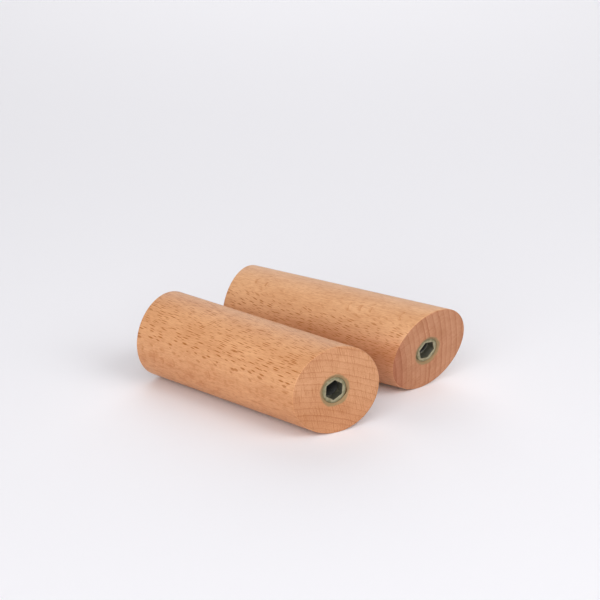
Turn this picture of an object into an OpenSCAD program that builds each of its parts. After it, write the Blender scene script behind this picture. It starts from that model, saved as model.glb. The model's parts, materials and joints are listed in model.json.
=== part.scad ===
// A pair of round beech wall pegs, each cut square at one end and on the slant at the other.
// A zinc screw insert with a hexagon socket sits in each slanted face, square to that face, so that
// a screw standing out of the wall draws the slanted face flat against it and the peg points upwards.
// Lengths are in millimetres and angles in degrees. The pegs lie on their round sides and +Z is up.
// +X runs along the front peg towards its slanted end. The origin is the middle of the pair's
// outline, on the surface that the pegs lie on.

/* [Pegs] */
// Diameter of both pegs
peg_d = 30; // [24:0.5:45]
// Length along the axis, from the square end to the middle of the slanted face
peg_l = 75; // [50:0.5:150]
// Slope of the slanted face away from a square cut
slant = 22.5; // [0:0.5:30]
// Width of the small bevel round the rims of both ends
bevel = 0.4; // [0.2:0.1:1.5]

/* [Inserts] */
// Diameter of the insert's body, between the turns of its knife thread
body_d = 8.8; // [8.6:0.1:10.5]
// Length of the insert
insert_l = 13; // [10:0.5:20]
// Hexagon socket across its flats
socket_af = 6; // [5.2:0.1:6.4]
// Depth of the hexagon socket
socket_depth = 3; // [2:0.1:5]
// Diameter of the tapped hole below the socket, at the crests of its thread
tap_d = 5; // [4:0.1:5.1]
// Diameter at the tip of the insert, which is tapered so that it starts straight
tip_d = 7.2; // [6.6:0.1:8]
// Length of the tapered tip
tip_l = 2; // [1:0.1:4]
// Bevel round the top of the insert
top_bevel = 0.3; // [0.1:0.05:0.4]
// Turn of the front insert's socket about its own axis
front_socket_turn = 0; // [-30:0.5:30]
// Turn of the rear insert's socket about its own axis
rear_socket_turn = -5; // [-30:0.5:30]

/* [Holes for the inserts] */
// Clearance between the insert's body and the wall of its hole
hole_clear = 0.05; // [0.02:0.01:0.2]
// How far the insert sits below the slanted face
insert_sink = 0.4; // [0:0.1:2]
// Empty depth between the insert's tip and the shoulder of the drill point
hole_spare = 3; // [1:0.5:10]
// Included angle of the drill point at the bottom of the hole
drill_point = 118; // [90:1:150]
// Width of the countersink round the mouth of the hole
mouth_w = 0.95; // [0.3:0.05:2]
// Offset of the hole from the middle of the slanted face, towards the peg's short side
hole_offset = 0.7; // [0:0.1:2]

/* [Places of the two pegs] */
// Gap between the pegs at their square ends
pair_gap = 6.3; // [2:0.1:40]
// How far the rear peg's square end lies ahead of the front peg's
rear_ahead = 5.1; // [0:0.1:20]
// Angle by which the rear peg turns away from the front peg
rear_turn = 7; // [0:0.5:30]
// Roll of the front peg, from where its long side lies level on the left of its heading
front_roll = -4.5; // [-60:0.5:60]
// Roll of the rear peg, from where its long side lies level on the left of its heading
rear_roll = 28.5; // [-60:0.5:60]

/* [Hidden] */
$fn = 96;

beech = [0.83, 0.61, 0.45];
zinc = [0.62, 0.60, 0.48];

peg_r = peg_d / 2;
hole_d = body_d + 2 * hole_clear;
hole_depth = insert_sink + insert_l + hole_spare;
// Half the angle of the cones that bevel the rims
rim_angle = 45;
// Cutters run past the faces that they cut by this much
overcut = 1;
// Solids that trim a peg to length are larger than the whole peg
trim_size = 3 * (peg_l + peg_d);

// Square end's place, heading and roll of each peg, before the pair is centred
front_place = [0, 0, 0, front_roll];
rear_place = [rear_ahead, peg_d + pair_gap, rear_turn, rear_roll];

// How far a slanted rim reaches from its middle in a direction at this angle from the peg's axis
function slanted_rim_reach(angle, roll) =
    peg_r * norm([
        sin(angle) + cos(angle) * tan(slant) * cos(roll),
        cos(angle) * tan(slant) * sin(roll)
    ]);

// How far a peg reaches in a level direction, given by its angle from +X
function peg_reach(direction, place) =
    let (angle = direction - place[2])
    place[0] * cos(direction) + place[1] * sin(direction)
    + max(peg_r * abs(sin(angle)), peg_l * cos(angle) + slanted_rim_reach(angle, place[3]));

function pair_reach(direction) =
    max(peg_reach(direction, front_place), peg_reach(direction, rear_place));

pair_middle = [
    (pair_reach(0) - pair_reach(180)) / 2,
    (pair_reach(90) - pair_reach(270)) / 2
];

// Lays children down as a peg lies: their +X is its axis and their origin its square end's middle
module lay(place) {
    translate([place[0] - pair_middle[0], place[1] - pair_middle[1], peg_r])
        rotate([place[3], 0, place[2]])
            children();
}

// Both frames below have +Z out of the face, and on the slanted face +Y runs to the long side
module on_square_end() {
    rotate([0, -90, 0]) children();
}

module on_slanted_face() {
    translate([peg_l, 0, 0])
        rotate([0, 90, -slant])
            children();
}

module in_hole() {
    on_slanted_face()
        translate([0, -hole_offset, 0])
            children();
}

// Everything below a face and inside a cone that bevels its rim. On a slanted face the rim is an
// oval, and the cone leans so that its own cut through the face is an oval of the same shape,
// which keeps the bevel even all round.
module trimmed_end(slope) {
    lean = asin(sin(slope) * cos(rim_angle));
    steep_side = tan(lean + rim_angle);
    flat_side = tan(lean - rim_angle);
    half_oval = (peg_r - bevel) / cos(slope);
    apex_h = 2 * half_oval / (steep_side - flat_side);
    apex_y = apex_h * (steep_side + flat_side) / 2;
    intersection() {
        translate([0, 0, -trim_size / 2])
            cube(trim_size, center = true);
        translate([0, apex_y, apex_h])
            rotate([-lean, 0, 0])
                translate([0, 0, -trim_size])
                    cylinder(h = trim_size, r1 = trim_size * tan(rim_angle), r2 = 0);
    }
}

// Blind hole with a countersunk mouth and the cone that the drill leaves at its bottom
module insert_hole() {
    point_h = hole_d / 2 / tan(drill_point / 2);
    mouth_h = mouth_w + overcut;
    translate([0, 0, -hole_depth])
        cylinder(h = hole_depth + overcut, d = hole_d);
    translate([0, 0, -hole_depth - point_h])
        cylinder(h = point_h, d1 = 0, d2 = hole_d);
    translate([0, 0, -mouth_w])
        cylinder(h = mouth_h, d1 = hole_d, d2 = hole_d + 2 * mouth_h);
}

module beech_peg() {
    difference() {
        intersection() {
            rotate([0, 90, 0])
                cylinder(h = peg_l + peg_d, d = peg_d);
            on_square_end() trimmed_end(0);
            on_slanted_face() trimmed_end(slant);
        }
        in_hole() insert_hole();
    }
}

// The insert's top lies at z = 0
module insert_body() {
    body_r = body_d / 2;
    rotate_extrude()
        polygon([
            [0, -insert_l],
            [tip_d / 2, -insert_l],
            [body_r, tip_l - insert_l],
            [body_r, -top_bevel],
            [body_r - top_bevel, 0],
            [0, 0]
        ]);
}

module screw_insert(socket_turn) {
    translate([0, 0, -insert_sink])
        difference() {
            insert_body();
            translate([0, 0, -socket_depth])
                rotate([0, 0, socket_turn])
                    cylinder(h = socket_depth + overcut, d = socket_af / cos(30), $fn = 6);
            translate([0, 0, -insert_l - overcut])
                cylinder(h = insert_l + overcut, d = tap_d);
        }
}

module front_peg() {
    color(beech) lay(front_place) beech_peg();
}

module front_insert() {
    color(zinc) lay(front_place) in_hole() screw_insert(front_socket_turn);
}

module rear_peg() {
    color(beech) lay(rear_place) beech_peg();
}

module rear_insert() {
    color(zinc) lay(rear_place) in_hole() screw_insert(rear_socket_turn);
}

front_peg();
front_insert();
rear_peg();
rear_insert();
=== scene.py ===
"""Looks of a pair of slant-cut beech wall pegs with hexagon-socket screw inserts.

Lengths are in metres, in the row frame, and inside the materials in millimetres. Places come from the
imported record's mounts, and the sizes repeat the part's own driving dimensions.
"""

import json
import math
from typing import NamedTuple

import bpy
import numpy as np
from mathutils import Matrix, Vector


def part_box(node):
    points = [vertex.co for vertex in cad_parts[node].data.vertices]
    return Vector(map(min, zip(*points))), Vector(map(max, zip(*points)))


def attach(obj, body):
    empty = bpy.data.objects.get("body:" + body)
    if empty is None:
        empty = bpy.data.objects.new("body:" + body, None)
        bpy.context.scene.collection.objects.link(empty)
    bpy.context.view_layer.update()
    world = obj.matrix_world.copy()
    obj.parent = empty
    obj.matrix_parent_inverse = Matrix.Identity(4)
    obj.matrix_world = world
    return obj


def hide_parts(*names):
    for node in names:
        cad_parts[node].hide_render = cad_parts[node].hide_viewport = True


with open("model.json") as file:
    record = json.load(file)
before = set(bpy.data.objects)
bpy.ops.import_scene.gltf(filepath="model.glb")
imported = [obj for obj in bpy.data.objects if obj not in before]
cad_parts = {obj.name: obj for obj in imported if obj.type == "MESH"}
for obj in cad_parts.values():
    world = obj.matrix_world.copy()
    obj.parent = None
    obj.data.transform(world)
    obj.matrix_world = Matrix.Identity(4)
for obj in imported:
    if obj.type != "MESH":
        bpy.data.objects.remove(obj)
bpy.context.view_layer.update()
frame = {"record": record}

MM = 0.001

# Pegs
PEG_L = 75 * MM
SLANT = math.radians(22.5)
SQUARE_RIM_ROUND = 0.4 * MM
SLANTED_RIM_ROUND = 0.32 * MM
# The wood's skin lies this far inside the solid's own box
SKIN = 0.01 * MM

# Inserts. Heights are from the slanted face
BODY_R = 4.4 * MM
INSERT_L = 13 * MM
INSERT_SINK = 0.4 * MM
INSERT_TOP = -INSERT_SINK
INSERT_TIP = INSERT_TOP - INSERT_L
TOP_ROUND = 0.16 * MM
TIP_R = 3.6 * MM
TIP_L = 2 * MM
SOCKET_AF = 6 * MM
SOCKET_DEPTH = 3 * MM
SOCKET_EDGE = 0.12 * MM
# The hexagon's corners, 30 degrees from the middle of a flat, are blunted from here on
SOCKET_BLUNT = math.radians(28.5)

# Holes for the inserts
HOLE_R = 4.45 * MM
HOLE_SPARE = 3 * MM
HOLE_BOTTOM = INSERT_TIP - HOLE_SPARE
DRILL_POINT = math.radians(118)
HOLE_OFFSET = 0.7 * MM
MOUTH_W = 0.95 * MM
# The wood is pressed back against the insert, so its countersink ends higher than it was cut
MOUTH_H = 0.42 * MM
MOUTH_ROUND = 0.15 * MM
LIP_CLEAR = 0.01 * MM

# Knife thread outside the insert. Half widths are shares of its pitch
KNIFE_PITCH = 3.5 * MM
KNIFE_H = 1.0 * MM
KNIFE_HALF_W = 0.2
KNIFE_CLEAR = 0.15 * MM
KNIFE_FADE = KNIFE_PITCH / 4
# Plain length of the insert above its thread
THREAD_TOP = 1.2 * MM
# Where the knife thread went in, the wood has closed up to a small notch
NOTCH_H = 0.8 * MM
NOTCH_HALF_W = 0.07

# M6 thread inside the insert
TAP_PITCH = 1.0 * MM
TAP_R = 2.5 * MM
TAP_H = 0.5 * MM
TAP_LEAD = TAP_PITCH / 4

# Counts of points round and rows along the meshes
PEG_SEGMENTS = 192
INSERT_SEGMENTS = 96
ROUND_ROWS = 6
EDGE_ROWS = 5
END_ROWS = 8
SIDE_ROWS = 34
FACE_ROWS = 16
MOUTH_ROWS = 8
SPARE_ROWS = 4
KNIFE_ROWS = 84
SOCKET_ROWS = 6
TAP_ROWS = 112
# Innermost ring of the square end, and rings over the insert's top, as shares of the way
END_MIDDLE = 0.12
TOP_RINGS = (0.33, 0.66)
SHARP_EDGE = math.radians(30)

# The photograph's camera, with angles in degrees
LENS = 101.59
SENSOR = 36.0
VIEW_AZIMUTH = 38.85
VIEW_ELEVATION = 22.12
VIEW_DISTANCE = 657.5 * MM
VIEW_POINT = Vector((-48.0, 58.5, 0.0)) * MM


# Frames of the two pegs, from the record

MOUNTS = {mount["name"]: mount for mount in frame["record"]["mounts"]}


class Peg:
    """Place of one peg. `station` maps its own frame to the row: +X its axis from the square end,
    +Y towards its long side. `hole` has +X towards the long side and +Z out of the slanted face."""

    def __init__(self, side, socket_turn, thread_turn):
        low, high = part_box(side + "_peg")
        self.radius = (high.z - low.z) / 2 - SKIN
        self.socket_turn = math.radians(socket_turn)
        self.thread_turn = math.radians(thread_turn)
        screw_hole = MOUNTS[side + "_screw_hole"]
        wall_face = MOUNTS[side + "_wall_face"]
        out = Vector(wall_face["axis"]).normalized()
        on_face = Vector(wall_face["pos_m"])
        tapped = Vector(screw_hole["pos_m"])
        mouth = tapped + out * (on_face - tapped).dot(out)
        long_way = (on_face - mouth).normalized()
        middle = mouth + long_way * HOLE_OFFSET
        axis = out * math.cos(SLANT) + long_way * math.sin(SLANT)
        across = long_way * math.cos(SLANT) - out * math.sin(SLANT)
        upright = axis.cross(across)
        self.station = Matrix((axis, across, upright)).transposed().to_4x4()
        self.station.translation = middle - axis * PEG_L
        self.hole = Matrix((long_way, upright, out)).transposed().to_4x4()
        self.hole.translation = mouth


# Mesh helpers


def blend(share, a, b):
    """From a, at a share of 0, to b, at 1. Takes numbers, arrays and fields."""
    return a + (b - a) * share


def placed(points, matrix):
    """Points of any array shape (..., 3), moved by a 4 by 4 matrix."""
    m = np.array(matrix)
    return points @ m[:3, :3].T + m[:3, 3]


def angles(count, turn=0.0):
    return turn + np.arange(count) * (2 * math.pi / count)


def circle(radius, height, phi):
    """Ring round +Z. The radius may vary with the angle."""
    return np.stack([radius * np.cos(phi), radius * np.sin(phi), height + 0 * phi], axis=-1)


def skin(rings, looped=False, caps=()):
    """Vertices and faces of a skin over rings of equal count. Caps are the points that close its ends."""
    rows, count = len(rings), len(rings[0])
    vertices = np.concatenate(list(rings) + [np.array(caps).reshape(-1, 3)])
    here = np.arange(count)
    after = (here + 1) % count
    faces = []
    for row in range(rows if looped else rows - 1):
        low, high = row * count, (row + 1) % rows * count
        faces += np.stack([low + here, low + after, high + after, high + here], axis=-1).tolist()
    if len(caps):
        first, last = rows * count, rows * count + 1
        end = (rows - 1) * count
        faces += np.stack([np.full(count, first), after, here], axis=-1).tolist()
        faces += np.stack([np.full(count, last), end + here, end + after], axis=-1).tolist()
    return vertices, faces


def volume(vertices, faces):
    total = 0.0
    for face in faces:
        p = vertices[face]
        for k in range(1, len(face) - 1):
            total += np.dot(p[0], np.cross(p[k], p[k + 1]))
    return total / 6


def make_piece(name, vertices, faces, material):
    """A closed mesh object with outward faces, smooth but for its sharp edges."""
    if volume(vertices, faces) < 0:
        faces = [face[::-1] for face in faces]
    mesh = bpy.data.meshes.new(name)
    mesh.from_pydata(vertices.tolist(), [], faces)
    mesh.validate()
    mesh.shade_smooth()
    mesh.set_sharp_from_angle(angle=SHARP_EDGE)
    mesh.materials.append(material)
    piece = bpy.data.objects.new(name, mesh)
    bpy.context.scene.collection.objects.link(piece)
    return piece


def dress(piece, node):
    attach(piece, "root")
    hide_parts(node)


# Threads


def ridge(height, phi, pitch, turn):
    """Share of a pitch from the nearest crest of a right-handed thread: 0 at crests, 0.5 at roots."""
    phase = height / pitch - (phi - turn) / (2 * math.pi)
    return np.abs(phase - np.round(phase))


def smooth_step(low, high, value):
    t = np.clip((value - low) / (high - low), 0, 1)
    return t * t * (3 - 2 * t)


def knife(height, phi, turn, tall=KNIFE_H, half_w=KNIFE_HALF_W):
    """How far the knife thread stands out of the insert's body. It fades towards the tip."""
    fade = smooth_step(INSERT_TIP, INSERT_TIP + TIP_L + KNIFE_FADE, height)
    return tall * fade * np.clip(1 - ridge(height, phi, KNIFE_PITCH, turn) / half_w, 0, 1)


# Peg


def rounded_slanted_rim(radius, phi):
    """Rows of points round the slanted rim, from the side to the face, in the peg's own frame."""
    slope = math.tan(SLANT)
    zero = 0 * phi
    rim = np.stack([PEG_L + radius * np.cos(phi) * slope, radius * np.cos(phi), radius * np.sin(phi)], -1)
    along = np.stack([-np.sin(phi) * slope, -np.sin(phi), np.cos(phi)], -1)
    along /= np.linalg.norm(along, axis=-1, keepdims=True)
    outward = np.stack([zero, np.cos(phi), np.sin(phi)], -1)
    normal = np.array([math.cos(SLANT), -math.sin(SLANT), 0.0])
    down_side = np.cross(along, outward)
    down_side *= -np.sign(down_side[:, :1])
    over_face = np.cross(normal, along)
    over_face *= np.sign(np.sum(over_face * (np.array([PEG_L, 0, 0]) - rim), -1, keepdims=True))
    half = np.arccos(np.clip(np.sum(down_side * over_face, -1), -1, 1)) / 2
    reach = (SLANTED_RIM_ROUND / np.tan(half))[:, None]
    middle = down_side + over_face
    middle /= np.linalg.norm(middle, axis=-1, keepdims=True)
    centre = rim + middle * (SLANTED_RIM_ROUND / np.sin(half))[:, None]
    start = rim + down_side * reach - centre
    end = rim + over_face * reach - centre
    sweep = (math.pi - 2 * half)[:, None]
    rows = []
    for share in np.linspace(0, 1, ROUND_ROWS):
        turned = np.sin((1 - share) * sweep) * start + np.sin(share * sweep) * end
        rows.append(centre + turned / np.sin(sweep))
    return rows


def hole_rows(peg, phi):
    """Rows from the face's edge of the mouth to the shoulder of the drill point, in the hole's frame."""
    mouth_r = HOLE_R + MOUTH_W
    lip_r = BODY_R + LIP_CLEAR
    slope = MOUTH_H / (mouth_r - lip_r)
    rows = []
    for share in np.linspace(0, 1, ROUND_ROWS):
        radius = mouth_r + MOUTH_ROUND * (1 - 2 * share)
        rows.append(circle(radius, -slope * MOUTH_ROUND * share ** 2, phi))
    heights = np.concatenate([
        np.linspace(-slope * MOUTH_ROUND, -MOUTH_H, MOUTH_ROWS)[1:],
        np.linspace(-MOUTH_H, INSERT_TIP, KNIFE_ROWS)[1:],
        np.linspace(INSERT_TIP, HOLE_BOTTOM, SPARE_ROWS)[1:],
    ])
    for height in heights:
        wall_r = lip_r if height >= INSERT_TOP else HOLE_R
        plain = max(wall_r, mouth_r + height / slope)
        closed = smooth_step(INSERT_TOP - THREAD_TOP / 2, INSERT_TOP, height)
        tall = blend(closed, KNIFE_H, NOTCH_H)
        half_w = blend(closed, KNIFE_HALF_W, NOTCH_HALF_W)
        groove = knife(height, phi, peg.thread_turn, tall, half_w) + KNIFE_CLEAR * (1 - closed)
        cut = blend(closed, HOLE_R, BODY_R) + groove
        rows.append(circle(np.maximum(plain, cut), height, phi))
    return rows


def peg_mesh(peg):
    phi = angles(PEG_SEGMENTS)
    radius = peg.radius
    rows = []
    for share in np.linspace(END_MIDDLE, 1, END_ROWS):
        rows.append(circle(share * (radius - SQUARE_RIM_ROUND), 0.0, phi))
    for bend in np.linspace(0, math.pi / 2, ROUND_ROWS)[1:]:
        inset = SQUARE_RIM_ROUND * (1 - np.sin(bend))
        rise = SQUARE_RIM_ROUND * (1 - np.cos(bend))
        rows.append(circle(radius - inset, rise, phi))
    # Rings so far are round +Z; the peg's own axis is +X
    rows = [row[:, [2, 0, 1]] for row in rows]
    rim = rounded_slanted_rim(radius, phi)
    first = rows[-1]
    for share in np.linspace(0, 1, SIDE_ROWS)[1:-1]:
        rows.append(blend(share, first, rim[0]))
    rows += rim
    rows = [placed(row, peg.station) for row in rows]
    down = [placed(row, peg.hole) for row in hole_rows(peg, phi)]
    face_edge = rows[-1]
    for share in np.linspace(0, 1, FACE_ROWS)[1:-1]:
        rows.append(blend(share, face_edge, down[0]))
    rows += down
    point_h = HOLE_R / math.tan(DRILL_POINT / 2)
    caps = [peg.station.translation, peg.hole @ Vector((0, 0, HOLE_BOTTOM - point_h))]
    return skin(rows, caps=[tuple(cap) for cap in caps])


# Insert


def hexagon(across_flats, phi, turn):
    """Distance from the middle to a hexagon's side at each angle. The corners are slightly blunt."""
    side = (phi - turn) % (math.pi / 3) - math.pi / 6
    blunt = across_flats / 2 / math.cos(SOCKET_BLUNT)
    return np.minimum(across_flats / 2 / np.cos(side), blunt)


def insert_mesh(peg):
    corner = peg.socket_turn + math.pi / 6
    phi = angles(INSERT_SEGMENTS, corner)
    rows = []

    # Up the outside, from the tip
    for height in np.linspace(INSERT_TIP, INSERT_TOP - TOP_ROUND, KNIFE_ROWS):
        core = blend(min(1, (height - INSERT_TIP) / TIP_L), TIP_R, BODY_R)
        fade = 1 - smooth_step(INSERT_TOP - THREAD_TOP, INSERT_TOP - THREAD_TOP / 2, height)
        rows.append(circle(core + knife(height, phi, peg.thread_turn) * fade, height, phi))

    # Over the top and into the socket
    for bend in np.linspace(0, math.pi / 2, EDGE_ROWS)[1:]:
        inset = TOP_ROUND * (1 - math.cos(bend))
        drop = TOP_ROUND * (1 - math.sin(bend))
        rows.append(circle(BODY_R - inset, INSERT_TOP - drop, phi))
    socket = hexagon(SOCKET_AF, phi, corner)
    for share in TOP_RINGS:
        rows.append(circle(blend(share, BODY_R - TOP_ROUND, socket + SOCKET_EDGE), INSERT_TOP, phi))
    for bend in np.linspace(0, math.pi / 2, EDGE_ROWS):
        spread = SOCKET_EDGE * (1 - math.sin(bend))
        drop = SOCKET_EDGE * (1 - math.cos(bend))
        rows.append(circle(socket + spread, INSERT_TOP - drop, phi))
    floor_z = INSERT_TOP - SOCKET_DEPTH
    for height in np.linspace(INSERT_TOP - SOCKET_EDGE, floor_z, SOCKET_ROWS)[1:]:
        rows.append(circle(socket, height, phi))

    # Down the tapped hole
    tap_rim = TAP_R + TAP_H
    rows.append(circle((socket + tap_rim) / 2, floor_z, phi))
    rows.append(circle(tap_rim, floor_z, phi))
    for height in np.linspace(floor_z - TAP_LEAD, INSERT_TIP + TAP_LEAD, TAP_ROWS):
        depth = TAP_H * 2 * ridge(height, phi, TAP_PITCH, peg.thread_turn)
        rows.append(circle(TAP_R + depth, height, phi))
    rows.append(circle(tap_rim, INSERT_TIP, phi))
    rows = [placed(row, peg.hole) for row in rows]
    return skin(rows, looped=True)


# Shader helpers

# How far scattered points stray from an even grid, from 0 to 1
STRAY = 0.75


class Field:
    """A number that varies over a surface. Arithmetic on fields adds nodes to their material."""

    def __init__(self, shader, socket):
        self.shader = shader
        self.socket = socket

    def __add__(self, other):
        return self.shader.math("ADD", self, other)

    def __radd__(self, other):
        return self.shader.math("ADD", other, self)

    def __sub__(self, other):
        return self.shader.math("SUBTRACT", self, other)

    def __rsub__(self, other):
        return self.shader.math("SUBTRACT", other, self)

    def __mul__(self, other):
        return self.shader.math("MULTIPLY", self, other)

    def __rmul__(self, other):
        return self.shader.math("MULTIPLY", other, self)

    def __truediv__(self, other):
        return self.shader.math("DIVIDE", self, other)


class Shader:
    """A material whose nodes are added by short calls that take and give numbers, colours and fields."""

    def __init__(self, name):
        self.material = bpy.data.materials.new(name)
        self.material.use_nodes = True
        self.tree = self.material.node_tree
        self.surface = self.tree.nodes["Principled BSDF"]

    def feed(self, socket, value):
        if isinstance(value, Field):
            self.tree.links.new(value.socket, socket)
        else:
            socket.default_value = value

    def node(self, kind, inputs, **settings):
        made = self.tree.nodes.new(kind)
        for key, value in settings.items():
            setattr(made, key, value)
        for key, value in inputs.items():
            self.feed(made.inputs[key], value)
        return [Field(self, socket) for socket in made.outputs]

    def set_surface(self, **inputs):
        for key, value in inputs.items():
            self.feed(self.surface.inputs[key.replace("_", " ")], value)

    def math(self, operation, *values):
        return self.node("ShaderNodeMath", dict(enumerate(values)), operation=operation)[0]

    def join(self, *values):
        return self.node("ShaderNodeCombineXYZ", dict(enumerate(values)))[0]

    def split(self, vector):
        return self.node("ShaderNodeSeparateXYZ", {0: vector})

    def length(self, *values):
        return self.node("ShaderNodeVectorMath", {0: self.join(*values)}, operation="LENGTH")[1]

    def facing(self, direction):
        """How squarely the surface faces a direction: 1 square, 0 edge on, -1 turned away."""
        normal = self.node("ShaderNodeTexCoord", {})[1]
        return self.node("ShaderNodeVectorMath", {0: normal, 1: direction}, operation="DOT_PRODUCT")[1]

    def step(self, value, low, high, start=0.0, end=1.0):
        """Smooth step from start, at low and below, to end, at high and above."""
        inputs = {"Value": value, "From Min": low, "From Max": high, "To Min": start, "To Max": end}
        return self.node("ShaderNodeMapRange", inputs, interpolation_type="SMOOTHSTEP")[0]

    def mix(self, share, a, b, mode="MIX"):
        inputs = {0: share, 6: a, 7: b}
        return self.node("ShaderNodeMix", inputs, data_type="RGBA", blend_type=mode)[2]

    def tint(self, share, colour, tint):
        """The colour, multiplied by a tint as far as the share says."""
        return self.mix(share, colour, tint, "MULTIPLY")

    def noise(self, x, y, z, detail=2.0, roughness=0.5):
        return self.noise_node(x, y, z, detail, roughness)[0]

    def noise_node(self, x, y, z, detail, roughness):
        inputs = {"Vector": self.join(x, y, z), "Scale": 1.0, "Detail": detail, "Roughness": roughness}
        return self.node("ShaderNodeTexNoise", inputs, noise_dimensions="3D")

    def wander(self, x, y, z):
        """Three slow noises about zero."""
        return [part - 0.5 for part in self.split(self.noise_node(x, y, z, detail=1.0, roughness=0.5)[1])]

    def chance(self, value):
        """A number from 0 to 1 that is the same wherever the value is."""
        return self.node("ShaderNodeTexWhiteNoise", {"W": value}, noise_dimensions="1D")[0]

    def scatter(self, x, y):
        """Offsets from the nearest of scattered points, and three numbers from 0 to 1 that it has."""
        inputs = {"Vector": self.join(x, y, 0.0), "Scale": 1.0, "Randomness": STRAY}
        found = self.node("ShaderNodeTexVoronoi", inputs, feature="F1", voronoi_dimensions="2D")
        point_x, point_y, _ = self.split(found[2])
        return x - point_x, y - point_y, self.split(found[1])

    def bump(self, height, distance, strength):
        inputs = {"Height": height, "Distance": distance, "Strength": strength}
        return self.node("ShaderNodeBump", inputs)[0]

    def place(self, matrix):
        """The coordinates of the point being shaded, in a frame given by a matrix, in millimetres."""
        inputs = {
            "Vector": self.node("ShaderNodeTexCoord", {})[3],
            "Location": matrix.translation,
            "Rotation": matrix.to_euler(),
            "Scale": (MM, MM, MM),
        }
        return self.split(self.node("ShaderNodeMapping", inputs, vector_type="TEXTURE")[0])


# Beech

LIGHT_BEECH = (0.725, 0.383, 0.192, 1)
DARK_BEECH = (0.575, 0.267, 0.118, 1)
RAY_BROWN = (0.34, 0.095, 0.007, 1)
MARK_TINT = (0.78, 0.60, 0.42, 1)
LATE_TINT = (0.72, 0.55, 0.44, 1)
# Colour of the mouth's bruised wood, also painted shade in the countersink
MOUTH_BROWN = (0.27, 0.18, 0.085, 1)
# Painted shade colour for the gap round the insert and the thread's notch
NOTCH_SHADE_BROWN = (0.16, 0.07, 0.025, 1)

# Slow sway and quick quiver of the grain and of the rays
SWAY = 1.2
QUIVER = 0.5
RAY_SWAY = 1.6
RAY_QUIVER = 0.3
# How fast these, the fibres and the clouds of colour change along and across the grain
SWAY_PER_MM = (0.03, 0.09)
QUIVER_PER_MM = (0.1, 0.5)
FIBRE_PER_MM = (0.22, 2.6)
CLOUD_PER_MM = (0.05, 0.16)
FIBRE_DETAIL = 3.0
FIBRE_HARSHNESS = 0.7
# How much fibres and clouds darken the wood, and the range that goes from light to dark
FIBRE_TONE = 0.9
CLOUD_TONE = 0.6
TONE_RANGE = (0.42, 1.08)

# How squarely end grain faces along the trunk, and flat-sawn sides out of it or, less clearly, inwards
END_GRAIN_FACING = (0.55, 0.8)
FLAT_SAWN_FACING = (0.1, 0.55)
INWARD_FACING = (-0.9, -0.3)
INWARD_SHARE = 0.5
# Where sides face outwards less squarely than this, they cut the rays aslant
ASLANT_FACING = (0.35, 0.65)

# Mean width of a year's ring, and how far the rings wander from it, in years
RING_W = 2.1
RING_WANDER = 1.3
RING_WANDER_PER_MM = 0.25
# Shares of a year over which late wood darkens, as a thin line or as a soft band, and over which it ends
LATE_LINE = (0.70, 0.94)
LATE_BAND = (0.1, 0.9)
YEAR_END = (0.95, 1.0)
FAINTEST_YEAR = 0.35

# Spacing of the rays across and along the grain, on the sides and on end grain
RAY_W = 0.85
FINE_RAY_W = 0.42
FINE_RAY_L = 2.8
END_RAY_W = 0.58
END_RAY_L = 8.5
# How fast rays come and go outwards, and end rays along the grain
RAY_RUN_PER_MM = 0.35
END_RAY_RUN = 0.4
# Rays look into one noise at places this far apart, and come where it is this high
RAY_APART = (40, 50)
RAY_COMES = (0.22, 0.46)
# Half length and half width of the largest rays, as shares of those spacings
LENS_HALF_L = 0.42
LENS_HALF_W = 0.265
SMALLEST_LENS = 0.45
GONE_LENS = 0.02
# Reach from a lens's middle, 1 at its edge, over which it fades, and its arc comes and goes
LENS_EDGE = (0.35, 1.0)
ARC_INNER = (0.0, 0.7)
ARC_OUTER = (0.7, 1.3)
# The arc is at one end, and some lenses have none
ARC_END = (-0.4, 0.7)
ARC_PICK = (0.3, 0.6)
BLOTCH_PER_MM = (0.35, 0.6, 0.25)
BLOTCH_RANGE = (0.5, 0.68)

# How strongly the figure shows on quarter-sawn and on flat-sawn sides
RAY_SHOWS = (0.08, 0.93)
FINE_RAY_SHOWS = (0.05, 0.31)
PORE_SHOWS = (0.42, 0.05)
MARK_SHOWS = (0.75, 0.05)
# How strongly late wood shows on all sides, and rays on end grain
LATE_SHOWS = 0.16
END_RAY_SHOWS = 0.56

# The redder heartwood leans along the grain, about this place, and fades over this width either way. On
# the rear peg its tint is also painted shade, on the low flank that faces the front peg
HEART_AND_SHADE_LEAN = 0.03
HEART_AND_SHADE_MIDDLE = 40.0
HEART_AND_SHADE_FADE = 3.5

# Distances from the hole's axis over which the bruise and painted shade of the mouth, and the painted
# shade of the gap and notch below, fade out, and heights over which they come in
MOUTH_BRUISE_AND_SHADE_R = (5.1, 5.8)
MOUTH_BRUISE_AND_SHADE_Z = (-3.0, -0.3)
MOUTH_BRUISE_AND_SHADE = 0.95
# Painted shade in the gap round the insert and in the notch of its thread
NOTCH_SHADE_R = (6.0, 6.4)
NOTCH_SHADE_Z = (-0.8, -0.35)
NOTCH_SHADE = 0.8
BRUISE_AND_SHADE_QUIVER = 0.9
# Past the drill point, so that no painted shade comes out on the far side of the peg
NOTCH_SHADE_END_Z = (-22.0, -20.0)

WOOD_ROUGHNESS = 0.40
FIBRE_ROUGHNESS = 0.16
END_GRAIN_ROUGHNESS = 0.25
FIBRE_RELIEF = 0.6
RAY_RELIEF = 0.4
WOOD_RELIEF = 0.05 * MM
WOOD_BUMP = 0.35
WOOD_IOR = 1.5
WOOD_SPECULAR = 0.34


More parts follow.
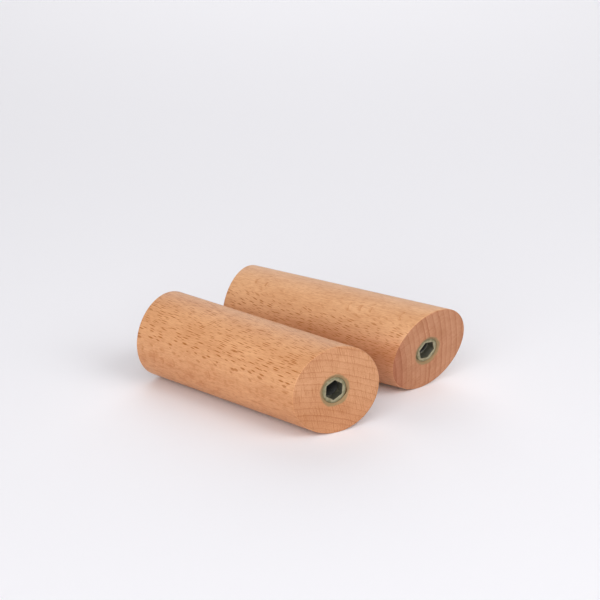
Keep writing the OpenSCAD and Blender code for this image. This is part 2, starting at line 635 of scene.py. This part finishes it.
class Figure(NamedTuple):
    """How one peg's wood lay in its trunk. Turns are of the outward direction, in degrees.

    ring_soft goes from thin dark lines to soft bands, and ring_depth is how strongly they show on end
    grain. pith is how far the middle of the trunk lies from the peg's axis. ray_l spaces the rays along
    the grain, ray_size scales them across it, ray_plump makes them rounder where they are cut aslant,
    and ray_slope leans them. The heart fields give how far out the redder heartwood reaches and its
    tint; on the rear peg this tint is also painted shade, on the low flank that faces the front peg.
    """

    ring_turn: float
    ring_soft: float
    ring_depth: float
    pith: float
    ray_turn: float
    ray_l: float
    ray_size: float
    ray_plump: float
    ray_slope: float
    blotches: float
    heart_and_shade_out: float
    heart_and_shade_tint: tuple
    side_tint: tuple
    end_tint: tuple
    seed: float


def trunk_frame(peg, turn):
    """+X along the grain, +Y out of the trunk, turned from straight up to the left of the heading."""
    axis = peg.station.to_3x3() @ Vector((1, 0, 0))
    left = Vector((0, 0, 1)).cross(axis).normalized()
    out = Vector((0, 0, 1)) * math.cos(math.radians(turn)) + left * math.sin(math.radians(turn))
    matrix = Matrix((axis, out, axis.cross(out))).transposed().to_4x4()
    matrix.translation = peg.station.translation
    return matrix


def lens_rays(s, along, out, across, plump=1.0):
    """Pointed lenses, one to a unit square along and across the grain, and the arcs at their near ends.

    Each lens runs outwards through the wood, and comes and goes. Plump lenses are wider and shorter.
    """
    side, end, (pick, other_pick, weight) = s.scatter(across, along)
    run = s.noise(out * RAY_RUN_PER_MM + RAY_APART[0] * pick, RAY_APART[1] * other_pick, 0.0)
    size = GONE_LENS + s.step(run, *RAY_COMES) * blend(weight, SMALLEST_LENS, 1.0)
    end = end * plump / (LENS_HALF_L * size)
    reach = s.math("ABSOLUTE", side) / (LENS_HALF_W * plump * size) + end * end
    lens = s.step(reach, *LENS_EDGE, 1.0, 0.0)
    arc = s.step(reach, *ARC_INNER) * s.step(reach, *ARC_OUTER, 1.0, 0.0)
    return lens, arc * s.step(end, *ARC_END) * s.step(other_pick, *ARC_PICK)


def late_wood(s, from_pith, figure):
    """Dark end of each year's ring. Some years are darker than others."""
    years = from_pith / RING_W + RING_WANDER * s.noise(from_pith * RING_WANDER_PER_MM, figure.seed, 0.0)
    age = s.math("FRACT", years)
    line = s.step(age, *LATE_LINE)
    band = s.step(age, *LATE_BAND)
    late = blend(figure.ring_soft, line, band) * s.step(age, *YEAR_END, 1.0, 0.0)
    return late * blend(s.chance(s.math("FLOOR", years)), FAINTEST_YEAR, 1.0)


def bruised_and_shaded(s, colour, peg, quiver):
    """The countersunk mouth, bruised by the insert and darkened with painted shade, and painted shade in
    the gap round the insert and in the groove of its thread below.
    """
    x, y, z = s.place(peg.hole)
    from_hole = s.length(x, y, 0.0) + BRUISE_AND_SHADE_QUIVER * quiver
    # The mouth's bruised wood, darkened further with painted shade
    bruise_and_shade = s.step(from_hole, *MOUTH_BRUISE_AND_SHADE_R, MOUTH_BRUISE_AND_SHADE, 0.0) * s.step(z, *MOUTH_BRUISE_AND_SHADE_Z)
    # Painted shade in the gap between insert and wood, and in the thread's notch
    groove = s.step(z, *NOTCH_SHADE_Z, NOTCH_SHADE, 0.0) * s.step(z, *NOTCH_SHADE_END_Z)
    groove = groove * s.step(from_hole, *NOTCH_SHADE_R, 1.0, 0.0)
    return s.mix(groove, s.mix(bruise_and_shade, colour, MOUTH_BROWN), NOTCH_SHADE_BROWN)


def beech(name, peg, figure):
    """Beech with its growth rings and rays in place through the whole solid."""
    s = Shader(name)
    seed = figure.seed
    along, out, across = s.place(trunk_frame(peg, figure.ring_turn))

    def drift(per_mm, along_seed=0.0, out_seed=0.0):
        """A place that moves slowly along the grain and faster across it."""
        return along * per_mm[0] + along_seed, out * per_mm[1] + out_seed, across * per_mm[1]

    sway_out, sway_across, sway_ray = s.wander(*drift(SWAY_PER_MM, along_seed=seed))
    quiver, _, ray_quiver = s.wander(*drift(QUIVER_PER_MM, out_seed=seed))
    fibre = s.noise(*drift(FIBRE_PER_MM), FIBRE_DETAIL, FIBRE_HARSHNESS)
    cloud = s.noise(*drift(CLOUD_PER_MM, along_seed=seed))

    # Which way the surface was cut: across the grain, or square to the rays
    trunk = trunk_frame(peg, figure.ray_turn)
    end_grain = s.step(s.math("ABSOLUTE", s.facing(trunk.to_3x3().col[0])), *END_GRAIN_FACING)
    outward = s.facing(trunk.to_3x3().col[1])
    inward = s.step(outward, *INWARD_FACING, INWARD_SHARE, 0.0)
    flat_sawn = s.step(outward, *FLAT_SAWN_FACING) + inward
    plump = s.step(outward, *ASLANT_FACING, figure.ray_plump, 1.0)

    def on_sides(shows):
        return blend(end_grain, blend(flat_sawn, *shows), 0.0)

    # Growth rings, and heartwood whose tint on the rear peg is also painted shade between the pegs
    ring_out = out + figure.pith + SWAY * sway_out + QUIVER * quiver
    late = late_wood(s, s.length(ring_out, across + SWAY * sway_across, 0.0), figure)
    heart_and_shade_edge = out - HEART_AND_SHADE_LEAN * (along - HEART_AND_SHADE_MIDDLE) - figure.heart_and_shade_out
    heart_and_shade = s.step(heart_and_shade_edge, -HEART_AND_SHADE_FADE, HEART_AND_SHADE_FADE, 1.0, 0.0)

    # Rays: thin lenses along the grain, which run outwards and come and go. Pores run across them
    ray_along, ray_out, ray_across = s.place(trunk)
    ray_across = ray_across - figure.ray_slope * ray_along + RAY_SWAY * sway_ray + RAY_QUIVER * ray_quiver
    ray_across = ray_across / figure.ray_size
    ray, mark = lens_rays(s, ray_along / figure.ray_l + seed, ray_out, ray_across / RAY_W, plump)
    fine_ray, _ = lens_rays(s, ray_along / FINE_RAY_L + seed, ray_out, ray_across / FINE_RAY_W)
    pore, _ = lens_rays(s, ray_along / FINE_RAY_L, ray_across, ray_out / FINE_RAY_W + seed)
    end_ray, _ = lens_rays(s, ray_out / END_RAY_L + seed, END_RAY_RUN * ray_along, ray_across / END_RAY_W)
    blotch_place = [part * per_mm for part, per_mm in zip((ray_along, ray_out, ray_across), BLOTCH_PER_MM)]
    blotch = s.step(s.noise(*blotch_place), *BLOTCH_RANGE)
    mark = s.math("MAXIMUM", mark, figure.blotches * blotch)

    tone = s.step(FIBRE_TONE * fibre + CLOUD_TONE * cloud, *TONE_RANGE)
    colour = s.mix(tone, LIGHT_BEECH, DARK_BEECH)
    # Heartwood tint; on the rear peg it is also painted shade on the low flank towards the front peg
    colour = s.tint(heart_and_shade, colour, figure.heart_and_shade_tint)
    colour = s.tint(late * blend(end_grain, LATE_SHOWS, figure.ring_depth), colour, LATE_TINT)
    colour = s.tint(mark * on_sides(MARK_SHOWS), colour, MARK_TINT)
    colour = s.mix(pore * on_sides(PORE_SHOWS), colour, RAY_BROWN)
    colour = s.mix(fine_ray * on_sides(FINE_RAY_SHOWS), colour, RAY_BROWN)
    colour = s.mix(ray * on_sides(RAY_SHOWS), colour, RAY_BROWN)
    colour = s.mix(end_ray * (END_RAY_SHOWS * end_grain), colour, RAY_BROWN)
    colour = s.tint(1.0, colour, s.mix(end_grain, figure.side_tint, figure.end_tint))

    s.set_surface(
        Base_Color=bruised_and_shaded(s, colour, peg, quiver),
        Roughness=WOOD_ROUGHNESS + FIBRE_ROUGHNESS * fibre + END_GRAIN_ROUGHNESS * end_grain,
        Normal=s.bump(FIBRE_RELIEF * fibre - RAY_RELIEF * ray, WOOD_RELIEF, WOOD_BUMP),
        IOR=WOOD_IOR,
        Specular_IOR_Level=WOOD_SPECULAR,
    )
    return s.material


# Yellow-passivated zinc

ZINC = (0.44, 0.405, 0.275, 1)
ZINC_OLIVE = (0.27, 0.245, 0.14, 1)
# Painted shade for the socket's walls and the tapped hole
SOCKET_SHADE_GREY = (0.34, 0.33, 0.26, 1)
TAP_SHADE_BLACK = (0.04, 0.04, 0.038, 1)

STAIN_PER_MM = 0.7
STAIN_DETAIL = 4.0
STAIN_RANGE = (0.4, 0.8)
GRIT_PER_MM = 9
ZINC_ROUGHNESS = 0.40
GRIT_ROUGHNESS = 0.25
GRIT_RELIEF = 0.02 * MM
GRIT_BUMP = 0.3
# The top is darker towards its edge: painted shade, by the wood's mouth round it
TOP_EDGE_SHADE = 0.24
TOP_EDGE_SHADE_R = (3.4, 4.3)
# The plating is darkened with painted shade inside the socket, below these heights and within these
# distances from the axis
SOCKET_SHADE_Z = (-1.0, -0.5)
SOCKET_SHADE_R = (3.5, 3.8)
TAP_SHADE_Z = (-3.75, -3.0)


def yellow_zinc(name, peg):
    s = Shader(name)
    place = s.place(peg.hole)
    x, y, z = place
    from_axis = s.length(x, y, 0.0)
    grit = s.noise(*[part * GRIT_PER_MM for part in place])
    stain = s.noise(*[part * STAIN_PER_MM for part in place], STAIN_DETAIL)
    # Painted shade towards the top's edge
    stain = stain + TOP_EDGE_SHADE * s.step(from_axis, *TOP_EDGE_SHADE_R)
    plating = s.mix(s.step(stain, *STAIN_RANGE), ZINC, ZINC_OLIVE)

    # Painted shade: darker inside the socket, and black down the tapped hole
    inside = s.step(z, *SOCKET_SHADE_Z, 1.0, 0.0) * s.step(from_axis, *SOCKET_SHADE_R, 1.0, 0.0)
    painted_socket_shade = s.mix(s.step(z, *TAP_SHADE_Z), TAP_SHADE_BLACK, SOCKET_SHADE_GREY)

    s.set_surface(
        Base_Color=s.mix(inside, plating, painted_socket_shade),
        Metallic=1.0,
        Roughness=ZINC_ROUGHNESS + GRIT_ROUGHNESS * grit,
        Normal=s.bump(grit, GRIT_RELIEF, GRIT_BUMP),
    )
    return s.material


# Floor, light and camera

FLOOR_SIZE = 6.0
FLOOR_WHITE = (0.885, 0.875, 0.91, 1)
FLOOR_ROUGHNESS = 0.9
SKY_WHITE = (0.95, 0.95, 1.0, 1)
SKY_STRENGTH = 0.067

# Name, azimuth, elevation, distance, size, power, and how far out below it each light is aimed
SOFTBOXES = (
    ("right", 74, 30, 1.5, 1.1, 1.6, 0.0),
    ("far right", 95, 40, 1.5, 1.0, 9.3, 0.0),
    ("front", 20, 25, 1.6, 1.6, 21.8, 0.0),
    ("top", VIEW_AZIMUTH, 70, 1.3, 1.2, 4.4, 0.0),
    ("back", 218, 32, 1.5, 1.6, 11.0, 0.0),
    ("far floor", VIEW_AZIMUTH + 180, 22, 0.8, 0.6, 0.29, 0.75),
)


def floor():
    half = FLOOR_SIZE / 2
    corners = [(-half, -half, 0), (half, -half, 0), (half, half, 0), (-half, half, 0)]
    mesh = bpy.data.meshes.new("floor")
    mesh.from_pydata(corners, [], [(0, 1, 2, 3)])
    s = Shader("floor paper")
    s.set_surface(Base_Color=FLOOR_WHITE, Roughness=FLOOR_ROUGHNESS)
    mesh.materials.append(s.material)
    sheet = bpy.data.objects.new("floor", mesh)
    bpy.context.scene.collection.objects.link(sheet)


def seen_from(azimuth, elevation):
    """Direction from the object, by angles from -Y towards +X and from level upwards, in degrees."""
    turn, rise = math.radians(azimuth), math.radians(elevation)
    return Vector((math.cos(rise) * math.sin(turn), -math.cos(rise) * math.cos(turn), math.sin(rise)))


def softbox(name, azimuth, elevation, distance, size, power, over):
    """Square light, aimed at the floor this far out below it: at the object where that is 0."""
    light = bpy.data.lights.new(name, "AREA")
    light.shape = "SQUARE"
    light.size = size
    light.energy = power
    lamp = bpy.data.objects.new(name, light)
    lamp.location = seen_from(azimuth, elevation) * distance
    aim = seen_from(azimuth, 0) * over
    lamp.rotation_euler = (lamp.location - aim).to_track_quat("Z", "Y").to_euler()
    lamp.visible_camera = False
    bpy.context.scene.collection.objects.link(lamp)


def studio():
    world = bpy.data.worlds.new("studio")
    world.use_nodes = True
    sky = world.node_tree.nodes["Background"]
    sky.inputs["Color"].default_value = SKY_WHITE
    sky.inputs["Strength"].default_value = SKY_STRENGTH
    bpy.context.scene.world = world
    for box in SOFTBOXES:
        softbox(*box)
    bpy.context.scene.view_settings.view_transform = "Standard"


def camera():
    data = bpy.data.cameras.new("photograph")
    data.lens = LENS
    data.sensor_width = SENSOR
    eye = bpy.data.objects.new("photograph", data)
    back = seen_from(VIEW_AZIMUTH, VIEW_ELEVATION)
    eye.location = VIEW_POINT + back * VIEW_DISTANCE
    eye.rotation_euler = back.to_track_quat("Z", "Y").to_euler()
    bpy.context.scene.collection.objects.link(eye)
    bpy.context.scene.camera = eye


PEGS = {
    "front": Peg("front", socket_turn=0, thread_turn=32),
    "rear": Peg("rear", socket_turn=-5, thread_turn=215),
}
FIGURES = {
    "front": Figure(
        ring_turn=20, ring_soft=0.15, ring_depth=0.72, pith=62,
        ray_turn=-8, ray_l=5.0, ray_size=0.70, ray_plump=1.45, ray_slope=0.045, blotches=0.7,
        heart_and_shade_out=-4.0, heart_and_shade_tint=(0.93, 0.87, 0.82, 1),
        side_tint=(1.0, 1.0, 1.0, 1), end_tint=(0.82, 0.80, 0.83, 1), seed=3.1,
    ),
    "rear": Figure(
        ring_turn=73, ring_soft=0.5, ring_depth=1.0, pith=90,
        ray_turn=-118, ray_l=3.9, ray_size=0.47, ray_plump=1.0, ray_slope=0.08, blotches=0.25,
        # This heart tint is also painted shade, on the low flank that faces the front peg
        heart_and_shade_out=-12.0, heart_and_shade_tint=(0.84, 0.68, 0.65, 1),
        side_tint=(1.03, 1.10, 1.17, 1), end_tint=(0.74, 0.69, 0.77, 1), seed=17.4,
    ),
}

for side, peg in PEGS.items():
    wood = make_piece(side + "_beech_peg", *peg_mesh(peg), beech(side + " beech", peg, FIGURES[side]))
    dress(wood, side + "_peg")
    metal = make_piece(side + "_screw_insert", *insert_mesh(peg), yellow_zinc(side + " zinc", peg))
    dress(metal, side + "_insert")

floor()
studio()
camera()
